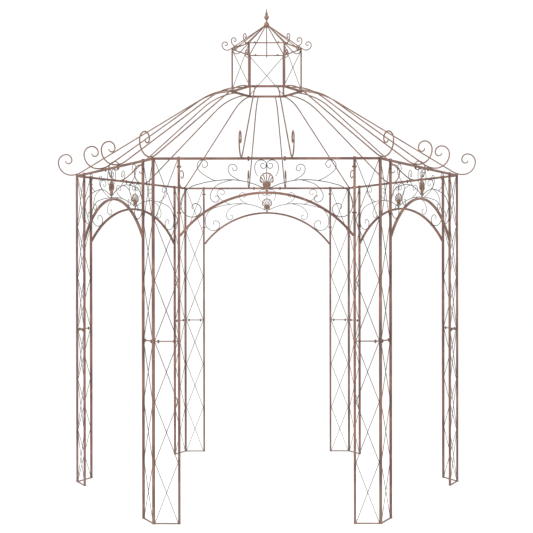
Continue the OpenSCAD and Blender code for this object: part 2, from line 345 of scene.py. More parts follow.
# Mask, noise scale per metre, detail, roughness, and the noise values where the mask starts and is full
MOTTLE_MASKS = (
    ("Tone", 5.0, 3.0, 0.5, 0.32, 0.68),
    ("Patches", 21.0, 4.0, 0.6, 0.54, 0.70),
    ("Flecks", 140.0, 3.0, 0.65, 0.57, 0.70),
)
PIMPLE_SCALE = 900.0
PIMPLE_SHARE = 0.45
WAVE_SCALE = 120.0
GRAIN_DEPTH = 0.0006
DUST_SCALE = 34.0
DUST_HEIGHT = 0.35
DUST_ON_TOP = 0.35


def new_shader_group(name, inputs, outputs):
    tree = bpy.data.node_groups.new(name, "ShaderNodeTree")
    for label, value in inputs:
        socket = tree.interface.new_socket(label, in_out="INPUT", socket_type="NodeSocketFloat")
        socket.default_value = value
    for label, kind in outputs:
        tree.interface.new_socket(label, in_out="OUTPUT", socket_type=f"NodeSocket{kind}")
    return tree


def noise(tree, vector, scale, detail, roughness=0.5):
    node = add_node(tree, "ShaderNodeTexNoise")
    node.inputs["Detail"].default_value = detail
    node.inputs["Roughness"].default_value = roughness
    node.inputs["Scale"].default_value = scale
    plug(tree, vector, node, "Vector")
    return node.outputs["Fac"]


def eased_step(tree, value, low, high):
    node = add_node(tree, "ShaderNodeMapRange", interpolation_type="SMOOTHSTEP")
    node.inputs["From Min"].default_value = low
    node.inputs["From Max"].default_value = high
    plug(tree, value, node, "Value")
    return node.outputs["Result"]


def mottle_group():
    """Broad brushed tone, small bright patches and thin dark flecks, as three masks."""
    outputs = [(mask[0], "Float") for mask in MOTTLE_MASKS]
    tree = new_shader_group("brushed mottle", [("Scale", 1.0)], outputs)
    start = add_node(tree, "NodeGroupInput")
    end = add_node(tree, "NodeGroupOutput")
    place = add_node(tree, "ShaderNodeTexCoord")
    scaled = add_node(tree, "ShaderNodeVectorMath", operation="SCALE")
    plug(tree, place.outputs["Object"], scaled, 0)
    plug(tree, start.outputs["Scale"], scaled, "Scale")
    where = scaled.outputs["Vector"]
    for mask, scale, detail, roughness, low, high in MOTTLE_MASKS:
        grey = noise(tree, where, scale, detail, roughness)
        plug(tree, eased_step(tree, grey, low, high), end, mask)
    return tree


def grain_group():
    """Powder paint's fine pimples over slow hammered waves, as a bumped normal and a height."""
    tree = new_shader_group("paint grain", [("Strength", 0.25)], [("Normal", "Vector"), ("Height", "Float")])
    start = add_node(tree, "NodeGroupInput")
    end = add_node(tree, "NodeGroupOutput")
    place = add_node(tree, "ShaderNodeTexCoord")
    fine = noise(tree, place.outputs["Object"], PIMPLE_SCALE, 2.0)
    broad = noise(tree, place.outputs["Object"], WAVE_SCALE, 2.0)
    both = add_node(tree, "ShaderNodeMath", operation="MULTIPLY_ADD")
    both.inputs[1].default_value = PIMPLE_SHARE
    bump = add_node(tree, "ShaderNodeBump")
    bump.inputs["Distance"].default_value = GRAIN_DEPTH
    plug(tree, fine, both, 0)
    plug(tree, broad, both, 2)
    plug(tree, both.outputs["Value"], bump, "Height")
    plug(tree, start.outputs["Strength"], bump, "Strength")
    plug(tree, bump.outputs["Normal"], end, "Normal")
    plug(tree, both.outputs["Value"], end, "Height")
    return tree


def dust_group():
    """How dusty the iron is: most at the feet, and a little where faces look up."""
    tree = new_shader_group("settled dust", [("Height", DUST_HEIGHT)], [("Dust", "Float")])
    start = add_node(tree, "NodeGroupInput")
    end = add_node(tree, "NodeGroupOutput")
    place = add_node(tree, "ShaderNodeTexCoord")
    split = add_node(tree, "ShaderNodeSeparateXYZ")
    low = add_node(tree, "ShaderNodeMapRange", interpolation_type="SMOOTHSTEP")
    low.inputs["From Min"].default_value = 0.0
    low.inputs["To Min"].default_value = 1.0
    low.inputs["To Max"].default_value = 0.0
    facing = add_node(tree, "ShaderNodeNewGeometry")
    facing_split = add_node(tree, "ShaderNodeSeparateXYZ")
    upward = add_node(tree, "ShaderNodeMath", operation="MULTIPLY", use_clamp=True)
    upward.inputs[1].default_value = DUST_ON_TOP
    total = add_node(tree, "ShaderNodeMath", operation="MAXIMUM")
    broken = add_node(tree, "ShaderNodeMath", operation="MULTIPLY")
    plug(tree, place.outputs["Object"], split, "Vector")
    plug(tree, split.outputs["Z"], low, "Value")
    plug(tree, start.outputs["Height"], low, "From Max")
    plug(tree, facing.outputs["Normal"], facing_split, "Vector")
    plug(tree, facing_split.outputs["Z"], upward, 0)
    plug(tree, low.outputs["Result"], total, 0)
    plug(tree, upward.outputs["Value"], total, 1)
    plug(tree, total.outputs["Value"], broken, 0)
    plug(tree, noise(tree, place.outputs["Object"], DUST_SCALE, 4.0), broken, 1)
    plug(tree, broken.outputs["Value"], end, "Dust")
    return tree


MOTTLE = mottle_group()
GRAIN = grain_group()
DUST = dust_group()


def mixed(tree, factor, below, above, strength=1.0):
    """Colour above over colour below, as far as the factor says. Either may be a socket."""
    node = add_node(tree, "ShaderNodeMix", data_type="RGBA")
    scaled = add_node(tree, "ShaderNodeMath", operation="MULTIPLY", use_clamp=True)
    scaled.inputs[1].default_value = strength
    tree.links.new(factor, scaled.inputs[0])
    tree.links.new(scaled.outputs["Value"], node.inputs["Factor"])
    for socket, colour in ((node.inputs[6], below), (node.inputs[7], above)):
        if isinstance(colour, tuple):
            socket.default_value = (*colour, 1.0)
        else:
            tree.links.new(colour, socket)
    return node.outputs[2]


# How strongly flecks, raised relief and dust colour the paint, and how far its roughness strays
FLECK_SHARE = 0.55
RELIEF_SHARE = 0.5
DUST_SHARE = 0.5
SMOOTHER = 0.08
ROUGHER = 0.14


def painted_iron(
    name, dark, light, patch, dust, metallic, rough, mottle_scale=1.0, patch_share=0.6, relief=False
):
    """Brushed metallic paint: two tones, patches, flecks and dust, with roughness that follows the paint
    grain.
    """
    material = bpy.data.materials.new(name)
    material.use_nodes = True
    tree = material.node_tree
    shader = tree.nodes["Principled BSDF"]
    masks = add_node(tree, "ShaderNodeGroup", node_tree=MOTTLE)
    masks.inputs["Scale"].default_value = mottle_scale
    grain = add_node(tree, "ShaderNodeGroup", node_tree=GRAIN)
    dusty = add_node(tree, "ShaderNodeGroup", node_tree=DUST)
    colour = mixed(tree, masks.outputs["Tone"], dark, light)
    colour = mixed(tree, masks.outputs["Patches"], colour, patch, patch_share)
    colour = mixed(tree, masks.outputs["Flecks"], colour, dark, FLECK_SHARE)
    if relief:
        raised = add_node(tree, "ShaderNodeAttribute", attribute_name="relief")
        colour = mixed(tree, raised.outputs["Fac"], colour, patch, RELIEF_SHARE)
    colour = mixed(tree, dusty.outputs["Dust"], colour, dust, DUST_SHARE)
    tree.links.new(colour, shader.inputs["Base Color"])
    uneven = add_node(tree, "ShaderNodeMapRange")
    uneven.inputs["To Min"].default_value = rough - SMOOTHER
    uneven.inputs["To Max"].default_value = rough + ROUGHER
    plug(tree, grain.outputs["Height"], uneven, "Value")
    tree.links.new(uneven.outputs["Result"], shader.inputs["Roughness"])
    tree.links.new(grain.outputs["Normal"], shader.inputs["Normal"])
    shader.inputs["Metallic"].default_value = metallic
    return material


def linear(value):
    """The sRGB standard's curve, from a screen value of 0 to 1 to a linear one."""
    return ((value + 0.055) / 1.055) ** 2.4 if value > 0.04045 else value / 12.92


def srgb(red, green, blue):
    """A colour given as it looks on screen, 0 to 255, in the shader's linear values."""
    return tuple(linear(value / 255) for value in (red, green, blue))


COPPER_PAINT = painted_iron(
    "copper_paint",
    dark=srgb(94, 66, 57),
    light=srgb(124, 92, 80),
    patch=srgb(156, 110, 88),
    dust=srgb(140, 128, 120),
    metallic=0.35,
    rough=0.46,
)
# Same copper paint as the tubes, painted lighter for the roof's rods and eaves bars: a painted highlight for
# the light that falls on them from above
LIT_ROOF_PAINT = painted_iron(
    "lit_roof_paint",
    dark=srgb(98, 73, 62),
    light=srgb(130, 100, 86),
    patch=srgb(164, 125, 102),
    dust=srgb(150, 136, 126),
    metallic=0.4,
    rough=0.42,
    mottle_scale=1.4,
)
DARK_IRON = painted_iron(
    "dark_iron",
    dark=srgb(58, 54, 52),
    light=srgb(86, 78, 74),
    patch=srgb(112, 88, 76),
    dust=srgb(132, 124, 118),
    metallic=0.3,
    rough=0.5,
    mottle_scale=1.8,
    patch_share=0.4,
)
CAST_COPPER = painted_iron(
    "cast_copper",
    dark=srgb(72, 52, 44),
    light=srgb(116, 88, 76),
    patch=srgb(160, 122, 98),
    dust=srgb(136, 124, 114),
    metallic=0.4,
    rough=0.44,
    mottle_scale=2.6,
    relief=True,
)
BOLT_STEEL = painted_iron(
    "bolt_steel",
    dark=srgb(66, 48, 42),
    light=srgb(104, 78, 68),
    patch=srgb(142, 106, 90),
    dust=srgb(140, 128, 120),
    metallic=0.5,
    rough=0.4,
    mottle_scale=6.0,
)

# ---- Places on the six sides and corners ----


def corner_turn(k):
    return k * SIDE_TURN


def side_turn(k):
    return (k + 0.5) * SIDE_TURN


def outward(angle):
    return Vector((math.cos(angle), math.sin(angle), 0.0))


def along(angle):
    return Vector((-math.sin(angle), math.cos(angle), 0.0))


UP = Vector((0.0, 0.0, 1.0))


def on_side(k, u, z, out=0.0, from_axis=None):
    """A point of side k: u along it from its middle, z up, out from its plane."""
    distance = APOTHEM if from_axis is None else from_axis
    return outward(side_turn(k)) * (distance + out) + along(side_turn(k)) * u + UP * z


def on_upright(origin, heading, r, z):
    """A point of the upright plane through origin, r along the level heading and z up."""
    return origin + heading * r + UP * z


# ---- Paths made of moves (radius, turn), with a left turn positive, or (length, 0) ----


def turned_point(p, heading, r, turn):
    side = r * math.copysign(1.0, turn)
    x = p[0] + side * (math.sin(heading + turn) - math.sin(heading))
    y = p[1] + side * (math.cos(heading) - math.cos(heading + turn))
    return (x, y)


def path(start, heading, moves):
    points = [start]
    for size, turn in moves:
        p = points[-1]
        if turn == 0:
            points.append((p[0] + size * math.cos(heading), p[1] + size * math.sin(heading)))
            continue
        steps = max(2, math.ceil(abs(turn) / ARC_STEP))
        points += [turned_point(p, heading, size, turn * (i + 1) / steps) for i in range(steps)]
        heading += turn
    return points


def millimetre_path(start, heading, moves):
    """A path written in millimetres and degrees, as a smith's drawing gives it."""
    in_metres = [(size / 1000, math.radians(turn)) for size, turn in moves]
    return path((start[0] / 1000, start[1] / 1000), math.radians(heading), in_metres)


TENDRIL = millimetre_path(
    (9, -201), 25, [(34, 0), (500, -27), (760, -16), (130, -84), (75, -81), (60, -56), (40, -116), (22, -138)]
)
INNER_CURL = millimetre_path((176, -147), 30, [(56, 0), (60, 57), (30, 173), (15, 213)])
UPPER_CURL = millimetre_path((337, -148), 20, [(322, 22), (48, 68), (35, 128), (22, 111), (14, 129)])
LOWER_CURL = millimetre_path((226, -142), -9, [(361, -13), (115, -49), (44, -78), (25, -144), (13, -132)])
LYRE_SCROLL = millimetre_path(
    (-58, -118), 129, [(94, -37), (66, -22), (41, -158), (15, 30), (18, 181), (13, 120)]
)
LYRE_CROSS_Y = -0.040


def panel_height(y):
    return y + DRAWN_TOP - TUBE_W / 2 - CURL_ROD / 2 + WELD_DEPTH


def fall_angle(dr, dz, r):
    return math.atan2(dz - r, dr) + math.asin(r / math.hypot(dr, dz - r))


def fall_length(dr, dz, r):
    return math.sqrt(dr * dr + (dz - r) ** 2 - r * r)


SCROLL_SHARES = (1.0, 0.62, 0.44, 0.28, 0.2)


def scroll_moves(r):
    """Five quarter turns that close in on themselves."""
    return [(r * share, math.pi / 2) for share in SCROLL_SHARES]


def rafter_line(dr, dz):
    r = HEAD_BEND_R + EAVES_BEND_R
    angle = fall_angle(dr, dz, r)
    moves = [(HEAD_BEND_R, -angle), (fall_length(dr, dz, r), 0), (EAVES_BEND_R, angle)]
    return path((0.0, 0.0), 0.0, moves + scroll_moves(EAVES_SCROLL_R))


def lantern_rafter_line(bar_r):
    dr = bar_r + LANTERN_REACH - LANTERN_HEAD_R
    dz = LANTERN_RISE + LANTERN_DIP
    angle = fall_angle(dr, dz, LANTERN_BEND_R)
    moves = [(fall_length(dr, dz, LANTERN_BEND_R), 0), (LANTERN_BEND_R, angle)]
    return path((LANTERN_HEAD_R, 0.0), -angle, moves + scroll_moves(LANTERN_SCROLL_R))


# ---- Making meshes and pieces ----

# Length over which a forged scroll end is drawn out, and how thin it gets
DRAWN_OUT = 0.055
TIP_SHARE = 0.82


def end_taper(points, both_ends=False):
    """Width share at each point of a line, drawn out toward its last point or toward both ends."""
    reach = [0.0]
    for a, b in zip(points, points[1:]):
        reach.append(reach[-1] + (b - a).length)
    shares = []
    for r in reach:
        distance = min(r if both_ends else math.inf, reach[-1] - r)
        shares.append(min(1.0, TIP_SHARE + (1 - TIP_SHARE) * distance / DRAWN_OUT))
    return shares


def line_mesh(lines):
    """Lines of (points, plane normal, taper shares) as one mesh of edges for the bent bar tree."""
    points, edges, normals, tapers = [], [], [], []
    for line, normal, shares in lines:
        first = len(points)
        points += line
        edges += [(first + i, first + i + 1) for i in range(len(line) - 1)]
        normals += [normal] * len(line)
        tapers += shares or [1.0] * len(line)
    mesh = bpy.data.meshes.new("lines")
    mesh.from_pydata([tuple(p) for p in points], edges, [])
    flat = [value for normal in normals for value in normal]
    mesh.attributes.new("plane_normal", "FLOAT_VECTOR", "POINT").data.foreach_set("vector", flat)
    mesh.attributes.new("taper", "FLOAT", "POINT").data.foreach_set("value", tapers)
    return mesh


# Eased edge of a bar that has no edge radius of its own, as a share of its width
EDGE_SHARE = 0.16


def bars(lines, width, material, rounded=False, facets=8, edge_r=None):
    """Square bars with eased edges, or round rods, bent along the lines."""
    edge = width * EDGE_SHARE if edge_r is None else edge_r
    values = {
        "Width": width - PAINT_GAP,
        "Edge Radius": edge,
        "Round": rounded,
        "Facets": facets,
        "Material": material,
    }
    return run_tree(BENT_BAR, line_mesh(lines), values)


def straight(a, b, normal):
    return ([Vector(a), Vector(b)], normal, None)


def point_mesh(places):
    """Places as a mesh of points, for the bolt and weld trees."""
    mesh = bpy.data.meshes.new("spots")
    mesh.from_pydata([tuple(place) for place in places], [], [])
    return mesh


# Edges sharper than this stay crisp
CRISP_ANGLE = math.radians(38)


def piece(name, meshes, material, nodes=()):
    """One finished piece: its meshes joined, faces turned outward, shaded, and riding on the frame."""
    bm = bmesh.new()
    for mesh in meshes:
        bm.from_mesh(mesh)
        bpy.data.meshes.remove(mesh)
    bmesh.ops.recalc_face_normals(bm, faces=bm.faces)
    for face in bm.faces:
        face.material_index = 0
        face.smooth = True
    for edge in bm.edges:
        edge.smooth = len(edge.link_faces) == 2 and edge.calc_face_angle() < CRISP_ANGLE
    joined = bpy.data.meshes.new(name)
    bm.to_mesh(joined)
    bm.free()
    joined.materials.clear()
    joined.materials.append(material)
    for spare in ("plane_normal", "taper", "axis"):
        if spare in joined.attributes:
            joined.attributes.remove(joined.attributes[spare])
    made = bpy.data.objects.new(name, joined)
    bpy.context.scene.collection.objects.link(made)
    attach(made, "root")
    if nodes:
        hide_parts(*nodes)


# ---- Posts ----

WELDS = []
BOLT_HEADS = []
BOLT_NUTS = []
SLEEVE_W = TUBE_W * 0.72
SLEEVE_REACH = 0.004
FLAT_EDGE_SHARE = 0.12


def jointed_leg(foot, height, normal):
    """A leg in two tubes that meet at the middle bar, with the sleeve that joins them inside."""
    seam_low = MID_BAR_Z - SEAM / 2
    seam_high = MID_BAR_Z + SEAM / 2
    lower = straight(foot, foot + UP * seam_low, normal)
    upper = straight(foot + UP * seam_high, foot + UP * height, normal)
    sleeve = straight(foot + UP * (seam_low - SLEEVE_REACH), foot + UP * (seam_high + SLEEVE_REACH), normal)
    tubes = bars([lower, upper], TUBE_W, COPPER_PAINT, edge_r=TUBE_EDGE_R)
    return [tubes, bars([sleeve], SLEEVE_W, COPPER_PAINT)]


def corner_leg(k):
    foot = outward(corner_turn(k)) * SIDE_LEN
    meshes = jointed_leg(foot, RAIL_TOP, outward(corner_turn(k)))
    piece(f"corner_leg_{k + 1}", meshes, COPPER_PAINT, [f"post_{k + 1}_corner_leg"])


def flat_pair(side, near, far):
    """The middle bar: the lower half's top flat and the upper half's bottom flat, bolted together."""
    flats = []
    flat_t = (CROSS_BAR_W - SEAM) / 2
    for way in (-1, 1):
        z = MID_BAR_Z + way * (flat_t + SEAM) / 2
        for out in (-flat_t / 2, flat_t / 2):
            start = on_side(side, near, z, out)
            flats.append(straight(start, on_side(side, far, z, out), outward(side_turn(side))))
    return bars(flats, flat_t, COPPER_PAINT, edge_r=flat_t * FLAT_EDGE_SHARE)


def lattice_frame(k, side, way, label):
    """Outer leg and bars of one post face. way is +1 where the face runs on from the corner."""
    corner = -way * SIDE_LEN / 2
    near = corner + way * TUBE_W / 2 / math.cos(SIDE_TURN / 2)
    far = corner + way * POST_W
    leg_face = far - way * TUBE_W / 2
    normal = outward(side_turn(side))
    meshes = jointed_leg(on_side(side, far, 0.0), OUTER_LEG_TOP, normal)
    foot_bar_z = CROSS_BAR_W / 2
    foot_bar = straight(on_side(side, near, foot_bar_z), on_side(side, leg_face, foot_bar_z), normal)
    top_bar = straight(on_side(side, near, RAIL_Z), on_side(side, leg_face, RAIL_Z), normal)
    meshes.append(bars([foot_bar], CROSS_BAR_W, COPPER_PAINT))
    meshes.append(bars([top_bar], TUBE_W, COPPER_PAINT, edge_r=TUBE_EDGE_R))
    meshes.append(flat_pair(side, near, leg_face))
    name = f"post_{k + 1}_{label}"
    piece(f"{name}_frame", meshes, COPPER_PAINT, [f"{name}_lattice"])
    lattice_rods(name, side, near, leg_face)
    lattice_fixings(side, way, near, far, leg_face)


# How far each rod of a cross lies in front of or behind the panel's middle plane, so that they lap
ROD_LAP = LATTICE_ROD * 0.2


def lattice_rods(name, side, near, far):
    halves = [(CROSS_BAR_W, MID_BAR_Z - CROSS_BAR_W / 2), (MID_BAR_Z + CROSS_BAR_W / 2, RAIL_Z - TUBE_W / 2)]
    normal = outward(side_turn(side))
    lines = []
    for low, high in halves:
        pitch = (high - low) / CROSSES_PER_HALF
        for i in range(CROSSES_PER_HALF):
            z = low + i * pitch
            for first_z, last_z, lap in ((z, z + pitch, ROD_LAP), (z + pitch, z, -ROD_LAP)):
                rod_foot = on_side(side, near, first_z, lap)
                lines.append(straight(rod_foot, on_side(side, far, last_z, lap), normal))
            WELDS.append(on_side(side, (near + far) / 2, z + pitch / 2))
        for i in range(CROSSES_PER_HALF + 1):
            WELDS.append(on_side(side, near, low + i * pitch))
            WELDS.append(on_side(side, far, low + i * pitch))
    rods = bars(lines, LATTICE_ROD, DARK_IRON, rounded=True, facets=10)
    piece(f"{name}_rods", [rods], DARK_IRON)


PANEL_BOLT_DROPS = (0.054, 0.358)
MID_BOLT_INSET = 0.024


def lattice_fixings(side, way, near, far, leg_face):
    """Bolts that hold the arched panel to the outer leg, and the post's two halves together."""
    sideways = along(side_turn(side)) * way
    for drop in PANEL_BOLT_DROPS:
        BOLT_HEADS.append((on_side(side, leg_face, RAIL_Z - drop), -sideways))
        BOLT_NUTS.append((on_side(side, far + way * TUBE_W / 2, RAIL_Z - drop), sideways))
    for u in (near + way * MID_BOLT_INSET, leg_face - way * MID_BOLT_INSET):
        BOLT_HEADS.append((on_side(side, u, MID_BAR_Z + CROSS_BAR_W / 2), UP))
        BOLT_NUTS.append((on_side(side, u, MID_BAR_Z - CROSS_BAR_W / 2), -UP))


def posts():
    for k in range(SIDES):
        corner_leg(k)
        lattice_frame(k, k, 1, "right")
        lattice_frame(k, (k - 1) % SIDES, -1, "left")


# ---- Arched panels ----

RAIL_BOLT_U = 0.120
ARCH_STEP = math.radians(2)
STEM_REACH = SHELL_R * 0.8


def top_rail(k):
    line = straight(on_side(k, -HALF_SPAN, RAIL_Z), on_side(k, HALF_SPAN, RAIL_Z), outward(side_turn(k)))
    tube = bars([line], TUBE_W, COPPER_PAINT, edge_r=TUBE_EDGE_R)
    piece(f"rail_{k + 1}", [tube], COPPER_PAINT, [f"top_rail_{k + 1}"])
    for u in (-RAIL_BOLT_U, RAIL_BOLT_U):
        BOLT_HEADS.append((on_side(k, u, RAIL_TOP), UP))
        BOLT_NUTS.append((on_side(k, u, RAIL_Z - TUBE_W / 2), -UP))


def arch(k):
    spread = math.asin(HALF_SPAN / ARCH_R)
    steps = math.ceil(2 * spread / ARCH_STEP)
    centre = RAIL_Z - ARCH_CROWN_DROP - ARCH_R
    line = []
    for i in range(steps + 1):
        angle = -spread + 2 * spread * i / steps
        line.append(on_side(k, ARCH_R * math.sin(angle), centre + ARCH_R * math.cos(angle)))
    tube = bars([(line, outward(side_turn(k)), None)], TUBE_W, COPPER_PAINT, edge_r=TUBE_EDGE_R)
    piece(f"arch_tube_{k + 1}", [tube], COPPER_PAINT, [f"arch_{k + 1}"])
    WELDS.append(line[0])
    WELDS.append(line[-1])


def on_panel(k, p, mirror, scale):
    return on_side(k, mirror * p[0] * scale, RAIL_Z + panel_height(p[1]))


def scrollwork(k):
    normal = outward(side_turn(k))
    thick, thin = [], []
    shapes = [
        (TENDRIL, thick, SPAN_SCALE, False),
        (INNER_CURL, thin, SPAN_SCALE, False),
        (UPPER_CURL, thin, SPAN_SCALE, False),
        (LOWER_CURL, thin, SPAN_SCALE, False),
        (LYRE_SCROLL, thin, 1.0, True),
    ]
    for mirror in (-1, 1):
        for shape, rods, scale, both_ends in shapes:
            line = [on_panel(k, p, mirror, scale) for p in shape]
            rods.append((line, normal, end_taper(line, both_ends)))
        for shape in (INNER_CURL, UPPER_CURL, LOWER_CURL):
            WELDS.append(on_panel(k, shape[0], mirror, SPAN_SCALE))
    stem_foot = on_side(k, 0.0, RAIL_Z + SHELL_Y + STEM_REACH)
    thin.append(([on_panel(k, (0.0, LYRE_CROSS_Y), 1, 1.0), stem_foot], normal, None))
    meshes = [
        bars(thick, TENDRIL_ROD, DARK_IRON, rounded=True, facets=10),
        bars(thin, CURL_ROD, DARK_IRON, rounded=True, facets=8),
    ]
    piece(f"scrolls_{k + 1}", meshes, DARK_IRON, [f"scrollwork_{k + 1}"])


# ---- Cast shells ----

PETAL_STATIONS = 10
PETAL_RING = 10
PETAL_SWELL = 1.5
# Share of a petal's length over which its end is rounded off, and the share of its width left at the tip
PETAL_ROUNDED = 0.14
PETAL_TIP = 0.08
HEEL_RELIEF = 0.35


def petal(bm, relief, k, foot, tip, root_w, rim_w, root_t, rim_t):
    """One blade of a shell, such as a rib, from its foot to its tip, where it is rounded off."""
    run = (tip[0] - foot[0], tip[1] - foot[1])
    length = math.hypot(*run)
    ahead = (run[0] / length, run[1] / length)
    rings = []
    for i in range(PETAL_STATIONS + 1):
        share = i / PETAL_STATIONS
        swell = share**PETAL_SWELL
        past = max(0.0, (share - (1 - PETAL_ROUNDED)) / PETAL_ROUNDED)
        rounding = math.sqrt(max(0.0, 1 - past**2)) or PETAL_TIP
        half_w = (root_w + (rim_w - root_w) * swell) / 2 * rounding
        half_t = (root_t + (rim_t - root_t) * swell) / 2 * rounding
        ring = []
        for j in range(PETAL_RING):
            angle = math.tau * j / PETAL_RING
            across = half_w * math.cos(angle)
            u = foot[0] + ahead[0] * length * share - ahead[1] * across
            y = foot[1] + ahead[1] * length * share + ahead[0] * across
            vertex = bm.verts.new(on_side(k, u, RAIL_Z + y, half_t * math.sin(angle)))
            vertex[relief] = abs(math.sin(angle)) ** 2 * (HEEL_RELIEF + (1 - HEEL_RELIEF) * share)
            ring.append(vertex)
        rings.append(ring)
    bridge(bm, rings)


def bridge(bm, rings):
    """Faces between rings of points, and a face on each end."""
    for lower, upper in zip(rings, rings[1:]):
        count = len(lower)
        for j in range(count):
            bm.faces.new((lower[j], lower[(j + 1) % count], upper[(j + 1) % count], upper[j]))
    bm.faces.new(list(reversed(rings[0])))
    bm.faces.new(rings[-1])


RIM_STATIONS = 78
RIM_POINTS = 8
RIM_HALF_SWEEP = math.radians(122)
RIM_LOBE = 0.09
RIM_BAR_W = 0.0078
RIM_SHARE = 0.96
RIM_RELIEF = 0.4


def rim(bm, relief, k):
    """The shell's scalloped edge: a bar around the fan that bulges outward over each rib."""
    rings = []
    for i in range(RIM_STATIONS + 1):
        turn = RIM_HALF_SWEEP * (2 * i / RIM_STATIONS - 1)
        lobe = abs(math.cos(math.pi * turn / SHELL_RIB_SPREAD))
        middle_r = SHELL_R * (RIM_SHARE + RIM_LOBE * lobe)
        away = (math.sin(turn), math.cos(turn))
        ring = []
        for j in range(RIM_POINTS):
            angle = math.tau * j / RIM_POINTS
            r = middle_r + RIM_BAR_W / 2 * math.cos(angle)
            place = on_side(k, r * away[0], RAIL_Z + SHELL_Y + r * away[1], SHELL_T / 2 * math.sin(angle))
            vertex = bm.verts.new(place)
            vertex[relief] = abs(math.sin(angle)) * (RIM_RELIEF + (1 - RIM_RELIEF) * lobe)
            ring.append(vertex)
        rings.append(ring)
    bridge(bm, rings)


BOSS_RINGS = 5
BOSS_POINTS = 20
BOSS_HALF_W = SHELL_R * 0.66
BOSS_HALF_H = SHELL_R * 0.5
BOSS_HALF_T = SHELL_T * 0.7
BOSS_Y = SHELL_HEEL_Y + SHELL_R / 4
BOSS_RELIEF = 0.7
# Each face of the boss ends in a flat, this part of a ring short of its pole
BOSS_FLAT = 0.35


def boss(bm, relief, k):
    """The shell's domed heel, round on both faces."""
    rings = []
    for i in range(-BOSS_RINGS, BOSS_RINGS + 1):
        angle = math.pi / 2 * i / (BOSS_RINGS + BOSS_FLAT)
        share = math.cos(angle)
        ring = []
        for j in range(BOSS_POINTS):
            turn = math.tau * j / BOSS_POINTS
            u = BOSS_HALF_W * share * math.cos(turn)
            z = RAIL_Z + BOSS_Y + BOSS_HALF_H * share * math.sin(turn)
            vertex = bm.verts.new(on_side(k, u, z, BOSS_HALF_T * math.sin(angle)))
            vertex[relief] = abs(math.sin(angle)) * BOSS_RELIEF
            ring.append(vertex)
        rings.append(ring)
    bridge(bm, rings)


RIB_ROOT_W = 0.0040
RIB_ROOT_T = SHELL_T * 0.6
RIB_RIM_W = 0.0086
RIB_RIM_T = SHELL_T * 0.9
CREST_H = 0.013
CREST_W = 0.009
CREST_T = SHELL_T * 0.8
CREST_TIP_W = 0.003
CREST_TIP_T = SHELL_T * 0.4
LEAF_ROOT_U = 0.003
LEAF_ROOT_LIFT = 0.004
LEAF_W = 0.012
LEAF_OUT = SHELL_R * 0.78
LEAF_DROP = SHELL_R * 0.42
LEAF_TIP_W = 0.008
LEAF_TIP_T = SHELL_T * 0.6
FOOT_W = 0.012
FOOT_T = SHELL_T * 0.9
FOOT_TOP_W = 0.016
FOOT_RISE = SHELL_R * 0.2
LET_IN = 0.002


def shell_casting(bm, relief, k):
    heel = (0.0, SHELL_HEEL_Y)
    for i in range(SHELL_RIBS):
        angle = math.pi / 2 + (i - (SHELL_RIBS - 1) / 2) * SHELL_RIB_SPREAD
        tip = (SHELL_R * math.cos(angle), SHELL_Y + SHELL_R * math.sin(angle))
        petal(bm, relief, k, heel, tip, RIB_ROOT_W, RIB_RIM_W, RIB_ROOT_T, RIB_RIM_T)
    rim(bm, relief, k)
    crest = SHELL_Y + SHELL_R
    crest_foot = (0.0, crest - LET_IN)
    crest_tip = (0.0, crest + CREST_H)
    petal(bm, relief, k, crest_foot, crest_tip, CREST_W, CREST_TIP_W, CREST_T, CREST_TIP_T)
    for way in (-1, 1):
        leaf_root = (way * LEAF_ROOT_U, SHELL_HEEL_Y + LEAF_ROOT_LIFT)
        leaf_tip = (way * LEAF_OUT, SHELL_HEEL_Y - LEAF_DROP)
        petal(bm, relief, k, leaf_root, leaf_tip, LEAF_W, LEAF_TIP_W, SHELL_T, LEAF_TIP_T)
    foot = (0.0, SHELL_FOOT_Y - LET_IN)
    foot_top = (0.0, SHELL_HEEL_Y + FOOT_RISE)
    petal(bm, relief, k, foot, foot_top, FOOT_W, FOOT_TOP_W, FOOT_T, SHELL_T)
    boss(bm, relief, k)


def shells():
    bm = bmesh.new()
    relief = bm.verts.layers.float.new("relief")
    for k in range(SIDES):
        shell_casting(bm, relief, k)
    mesh = bpy.data.meshes.new("shells_cast")
    bm.to_mesh(mesh)
    bm.free()
    piece("cast_shells", [mesh], CAST_COPPER, ["shells"])


# ---- Roof ----

RING_BOLT_U = 0.100


def hexagon_bars(distance, z, width):
    """Six bars of a ring. Each runs on to the outer corner, where the next one covers its end."""
    half = distance * math.tan(SIDE_TURN / 2) + width / 2 * math.tan(SIDE_TURN / 2)
    lines = []
    for k in range(SIDES):
        a = on_side(k, -half, z, from_axis=distance)
        b = on_side(k, half, z, from_axis=distance)
        lines.append(straight(a, b, outward(side_turn(k))))
    return lines


def rafter_lines():
    corners, sides = [], []
    dz = RING_Z - RAIL_TOP
    for k in range(SIDES):
        heading = outward(corner_turn(k))
        flat = rafter_line(SIDE_LEN - RING_R + EAVES_REACH, dz)
        line = [on_upright(heading * RING_R + UP * RING_Z, heading, r, z) for r, z in flat]
        corners.append((line, along(corner_turn(k)), end_taper(line)))
        WELDS.append(line[0] + heading * TUBE_W / 2)
        for way in (-1, 1):
            head = on_side(k, way * SIDE_RAFTER_HEAD, RING_Z, from_axis=RING_APOTHEM)
            foot = on_side(k, way * SIDE_RAFTER_FOOT, RING_Z)
            heading = (foot - head).normalized()
            flat = rafter_line((foot - head).length + EAVES_REACH, dz)
            line = [on_upright(head, heading, r, z) for r, z in flat]
            sides.append((line, heading.cross(UP), end_taper(line)))
            WELDS.append(head + heading * TUBE_W / 2)
            WELDS.append(on_side(k, way * SIDE_RAFTER_FOOT, RAIL_TOP))
    return corners, sides


